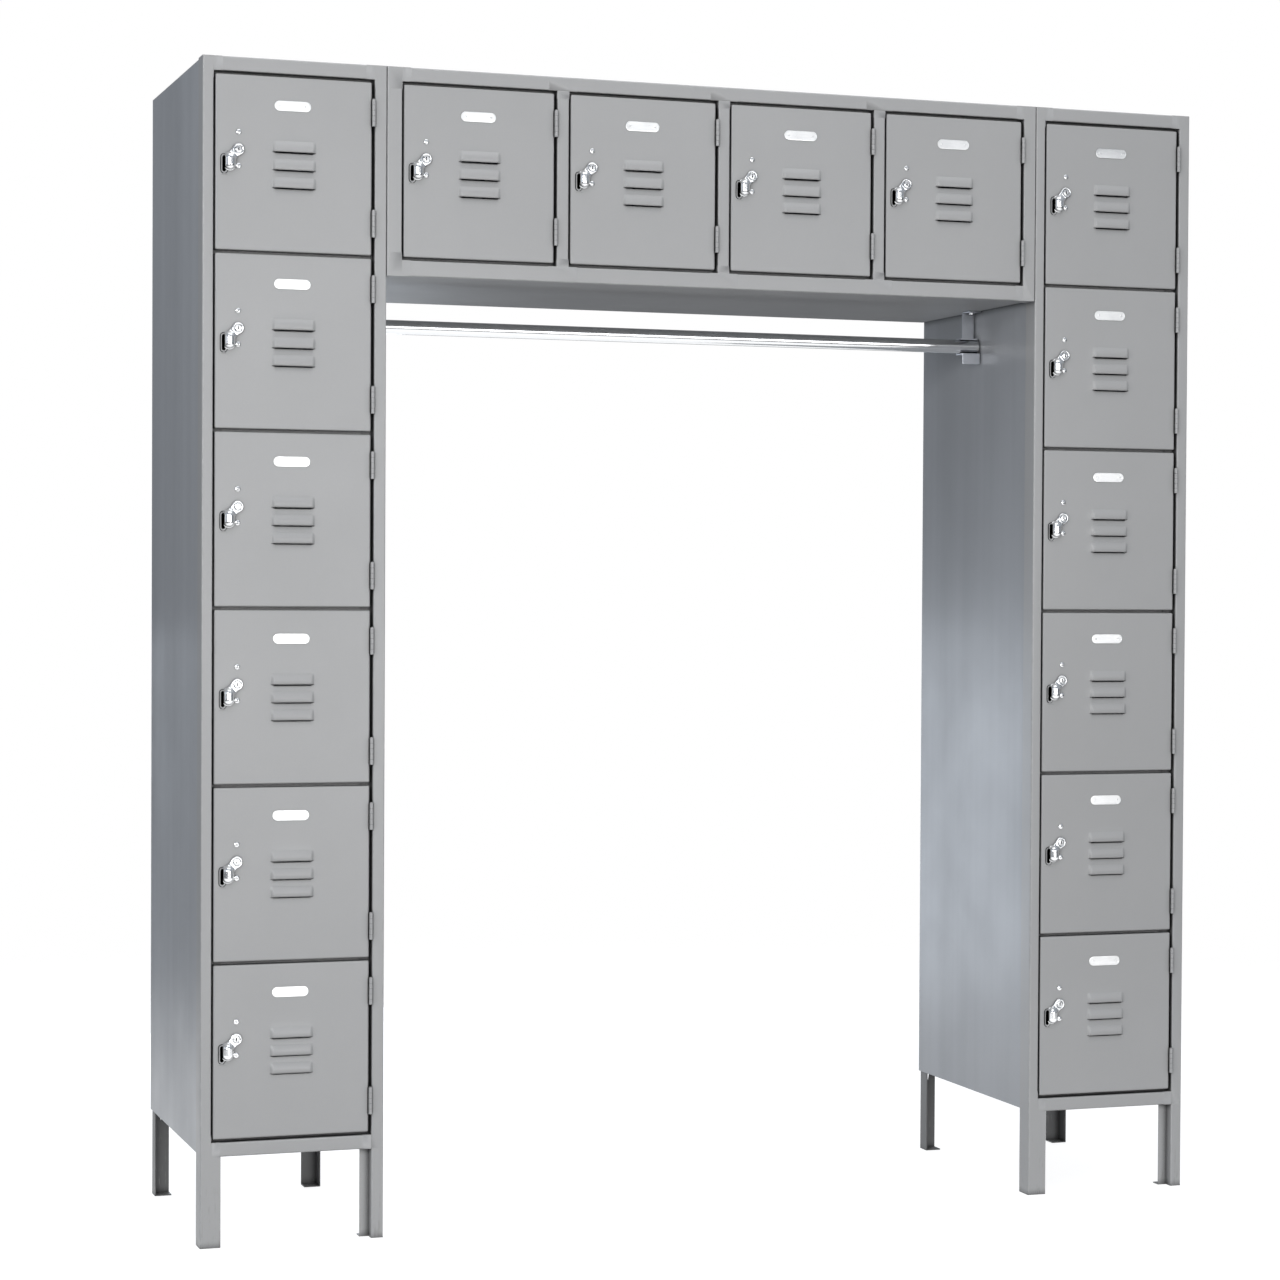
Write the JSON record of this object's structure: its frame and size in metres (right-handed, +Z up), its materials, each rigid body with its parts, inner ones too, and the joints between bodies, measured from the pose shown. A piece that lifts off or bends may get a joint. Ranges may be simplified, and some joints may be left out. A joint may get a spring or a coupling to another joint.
{
  "type": "coin operated locker",
  "caption": "Bank of steel box lockers: two legged columns of doors joined by an overhead cabinet, with a coat rod beneath and a coin-return lock on each door.",
  "frame": {"origin": "centre of the footprint, on the floor", "axes": "+X to the right as seen from the front, +Y to the back, +Z up; the doors face -Y"},
  "size_m": [1.829, 0.52, 1.981],
  "materials": {
    "grey_paint": "semi-gloss",
    "bright_trim": "polished",
    "lock_chrome": "polished",
    "rod_chrome": "polished",
    "bracket_steel": "satin",
    "zinc_plate": "satin"
  },
  "bodies": {
    "cabinet": {"left_column_frame": "grey_paint", "right_column_frame": "grey_paint", "overhead_frame": "grey_paint", "frame_hinges": "grey_paint", "side_panels": "grey_paint", "back_panels": "grey_paint", "tops_and_floors": "grey_paint", "shelves_and_partitions": "grey_paint", "rear_legs": "grey_paint", "coat_rod": "rod_chrome", "rod_brackets": "bracket_steel", "fasteners": "zinc_plate"},
    "left_door_1": {"left_door_1_panel": "grey_paint", "left_door_1_fittings": "bright_trim"},
    "left_lock_1": {"left_door_1_lock": "lock_chrome"},
    "left_door_2": {"left_door_2_panel": "grey_paint", "left_door_2_fittings": "bright_trim"},
    "left_lock_2": {"left_door_2_lock": "lock_chrome"},
    "left_door_3": {"left_door_3_panel": "grey_paint", "left_door_3_fittings": "bright_trim"},
    "left_lock_3": {"left_door_3_lock": "lock_chrome"},
    "left_door_4": {"left_door_4_panel": "grey_paint", "left_door_4_fittings": "bright_trim"},
    "left_lock_4": {"left_door_4_lock": "lock_chrome"},
    "left_door_5": {"left_door_5_panel": "grey_paint", "left_door_5_fittings": "bright_trim"},
    "left_lock_5": {"left_door_5_lock": "lock_chrome"},
    "left_door_6": {"left_door_6_panel": "grey_paint", "left_door_6_fittings": "bright_trim"},
    "left_lock_6": {"left_door_6_lock": "lock_chrome"},
    "right_door_1": {"right_door_1_panel": "grey_paint", "right_door_1_fittings": "bright_trim"},
    "right_lock_1": {"right_door_1_lock": "lock_chrome"},
    "right_door_2": {"right_door_2_panel": "grey_paint", "right_door_2_fittings": "bright_trim"},
    "right_lock_2": {"right_door_2_lock": "lock_chrome"},
    "right_door_3": {"right_door_3_panel": "grey_paint", "right_door_3_fittings": "bright_trim"},
    "right_lock_3": {"right_door_3_lock": "lock_chrome"},
    "right_door_4": {"right_door_4_panel": "grey_paint", "right_door_4_fittings": "bright_trim"},
    "right_lock_4": {"right_door_4_lock": "lock_chrome"},
    "right_door_5": {"right_door_5_panel": "grey_paint", "right_door_5_fittings": "bright_trim"},
    "right_lock_5": {"right_door_5_lock": "lock_chrome"},
    "right_door_6": {"right_door_6_panel": "grey_paint", "right_door_6_fittings": "bright_trim"},
    "right_lock_6": {"right_door_6_lock": "lock_chrome"},
    "overhead_door_1": {"overhead_door_1_panel": "grey_paint", "overhead_door_1_fittings": "bright_trim"},
    "overhead_lock_1": {"overhead_door_1_lock": "lock_chrome"},
    "overhead_door_2": {"overhead_door_2_panel": "grey_paint", "overhead_door_2_fittings": "bright_trim"},
    "overhead_lock_2": {"overhead_door_2_lock": "lock_chrome"},
    "overhead_door_3": {"overhead_door_3_panel": "grey_paint", "overhead_door_3_fittings": "bright_trim"},
    "overhead_lock_3": {"overhead_door_3_lock": "lock_chrome"},
    "overhead_door_4": {"overhead_door_4_panel": "grey_paint", "overhead_door_4_fittings": "bright_trim"},
    "overhead_lock_4": {"overhead_door_4_lock": "lock_chrome"}
  },
  "joints": [
    {"name": "left_door_1_hinge", "type": "hinge", "parent": "cabinet", "child": "left_door_1", "pos_m": [-0.626, -0.2506, 1.8065], "axis": [0, 0, 1], "range_deg": [0, 110]},
    {"name": "left_lock_1_turn", "type": "hinge", "parent": "left_door_1", "child": "left_lock_1", "pos_m": [-0.8545, -0.248, 1.828], "axis": [0, 1, 0], "range_deg": [0, 90]},
    {"name": "left_door_2_hinge", "type": "hinge", "parent": "cabinet", "child": "left_door_2", "pos_m": [-0.626, -0.2506, 1.5105], "axis": [0, 0, 1], "range_deg": [0, 110]},
    {"name": "left_lock_2_turn", "type": "hinge", "parent": "left_door_2", "child": "left_lock_2", "pos_m": [-0.8545, -0.248, 1.532], "axis": [0, 1, 0], "range_deg": [0, 90]},
    {"name": "left_door_3_hinge", "type": "hinge", "parent": "cabinet", "child": "left_door_3", "pos_m": [-0.626, -0.2506, 1.2145], "axis": [0, 0, 1], "range_deg": [0, 110]},
    {"name": "left_lock_3_turn", "type": "hinge", "parent": "left_door_3", "child": "left_lock_3", "pos_m": [-0.8545, -0.248, 1.236], "axis": [0, 1, 0], "range_deg": [0, 90]},
    {"name": "left_door_4_hinge", "type": "hinge", "parent": "cabinet", "child": "left_door_4", "pos_m": [-0.626, -0.2506, 0.9185], "axis": [0, 0, 1], "range_deg": [0, 110]},
    {"name": "left_lock_4_turn", "type": "hinge", "parent": "left_door_4", "child": "left_lock_4", "pos_m": [-0.8545, -0.248, 0.94], "axis": [0, 1, 0], "range_deg": [0, 90]},
    {"name": "left_door_5_hinge", "type": "hinge", "parent": "cabinet", "child": "left_door_5", "pos_m": [-0.626, -0.2506, 0.6225], "axis": [0, 0, 1], "range_deg": [0, 110]},
    {"name": "left_lock_5_turn", "type": "hinge", "parent": "left_door_5", "child": "left_lock_5", "pos_m": [-0.8545, -0.248, 0.644], "axis": [0, 1, 0], "range_deg": [0, 90]},
    {"name": "left_door_6_hinge", "type": "hinge", "parent": "cabinet", "child": "left_door_6", "pos_m": [-0.626, -0.2506, 0.3265], "axis": [0, 0, 1], "range_deg": [0, 110]},
    {"name": "left_lock_6_turn", "type": "hinge", "parent": "left_door_6", "child": "left_lock_6", "pos_m": [-0.8545, -0.248, 0.348], "axis": [0, 1, 0], "range_deg": [0, 90]},
    {"name": "right_door_1_hinge", "type": "hinge", "parent": "cabinet", "child": "right_door_1", "pos_m": [0.891, -0.2506, 1.8065], "axis": [0, 0, 1], "range_deg": [0, 110]},
    {"name": "right_lock_1_turn", "type": "hinge", "parent": "right_door_1", "child": "right_lock_1", "pos_m": [0.6625, -0.248, 1.828], "axis": [0, 1, 0], "range_deg": [0, 90]},
    {"name": "right_door_2_hinge", "type": "hinge", "parent": "cabinet", "child": "right_door_2", "pos_m": [0.891, -0.2506, 1.5105], "axis": [0, 0, 1], "range_deg": [0, 110]},
    {"name": "right_lock_2_turn", "type": "hinge", "parent": "right_door_2", "child": "right_lock_2", "pos_m": [0.6625, -0.248, 1.532], "axis": [0, 1, 0], "range_deg": [0, 90]},
    {"name": "right_door_3_hinge", "type": "hinge", "parent": "cabinet", "child": "right_door_3", "pos_m": [0.891, -0.2506, 1.2145], "axis": [0, 0, 1], "range_deg": [0, 110]},
    {"name": "right_lock_3_turn", "type": "hinge", "parent": "right_door_3", "child": "right_lock_3", "pos_m": [0.6625, -0.248, 1.236], "axis": [0, 1, 0], "range_deg": [0, 90]},
    {"name": "right_door_4_hinge", "type": "hinge", "parent": "cabinet", "child": "right_door_4", "pos_m": [0.891, -0.2506, 0.9185], "axis": [0, 0, 1], "range_deg": [0, 110]},
    {"name": "right_lock_4_turn", "type": "hinge", "parent": "right_door_4", "child": "right_lock_4", "pos_m": [0.6625, -0.248, 0.94], "axis": [0, 1, 0], "range_deg": [0, 90]},
    {"name": "right_door_5_hinge", "type": "hinge", "parent": "cabinet", "child": "right_door_5", "pos_m": [0.891, -0.2506, 0.6225], "axis": [0, 0, 1], "range_deg": [0, 110]},
    {"name": "right_lock_5_turn", "type": "hinge", "parent": "right_door_5", "child": "right_lock_5", "pos_m": [0.6625, -0.248, 0.644], "axis": [0, 1, 0], "range_deg": [0, 90]},
    {"name": "right_door_6_hinge", "type": "hinge", "parent": "cabinet", "child": "right_door_6", "pos_m": [0.891, -0.2506, 0.3265], "axis": [0, 0, 1], "range_deg": [0, 110]},
    {"name": "right_lock_6_turn", "type": "hinge", "parent": "right_door_6", "child": "right_lock_6", "pos_m": [0.6625, -0.248, 0.348], "axis": [0, 1, 0], "range_deg": [0, 90]},
    {"name": "overhead_door_1_hinge", "type": "hinge", "parent": "cabinet", "child": "overhead_door_1", "pos_m": [-0.306, -0.2506, 1.8065], "axis": [0, 0, 1], "range_deg": [0, 110]},
    {"name": "overhead_lock_1_turn", "type": "hinge", "parent": "overhead_door_1", "child": "overhead_lock_1", "pos_m": [-0.5345, -0.248, 1.828], "axis": [0, 1, 0], "range_deg": [0, 90]},
    {"name": "overhead_door_2_hinge", "type": "hinge", "parent": "cabinet", "child": "overhead_door_2", "pos_m": [-0.012, -0.2506, 1.8065], "axis": [0, 0, 1], "range_deg": [0, 110]},
    {"name": "overhead_lock_2_turn", "type": "hinge", "parent": "overhead_door_2", "child": "overhead_lock_2", "pos_m": [-0.2405, -0.248, 1.828], "axis": [0, 1, 0], "range_deg": [0, 90]},
    {"name": "overhead_door_3_hinge", "type": "hinge", "parent": "cabinet", "child": "overhead_door_3", "pos_m": [0.282, -0.2506, 1.8065], "axis": [0, 0, 1], "range_deg": [0, 110]},
    {"name": "overhead_lock_3_turn", "type": "hinge", "parent": "overhead_door_3", "child": "overhead_lock_3", "pos_m": [0.0535, -0.248, 1.828], "axis": [0, 1, 0], "range_deg": [0, 90]},
    {"name": "overhead_door_4_hinge", "type": "hinge", "parent": "cabinet", "child": "overhead_door_4", "pos_m": [0.576, -0.2506, 1.8065], "axis": [0, 0, 1], "range_deg": [0, 110]},
    {"name": "overhead_lock_4_turn", "type": "hinge", "parent": "overhead_door_4", "child": "overhead_lock_4", "pos_m": [0.3475, -0.248, 1.828], "axis": [0, 1, 0], "range_deg": [0, 90]}
  ]
}
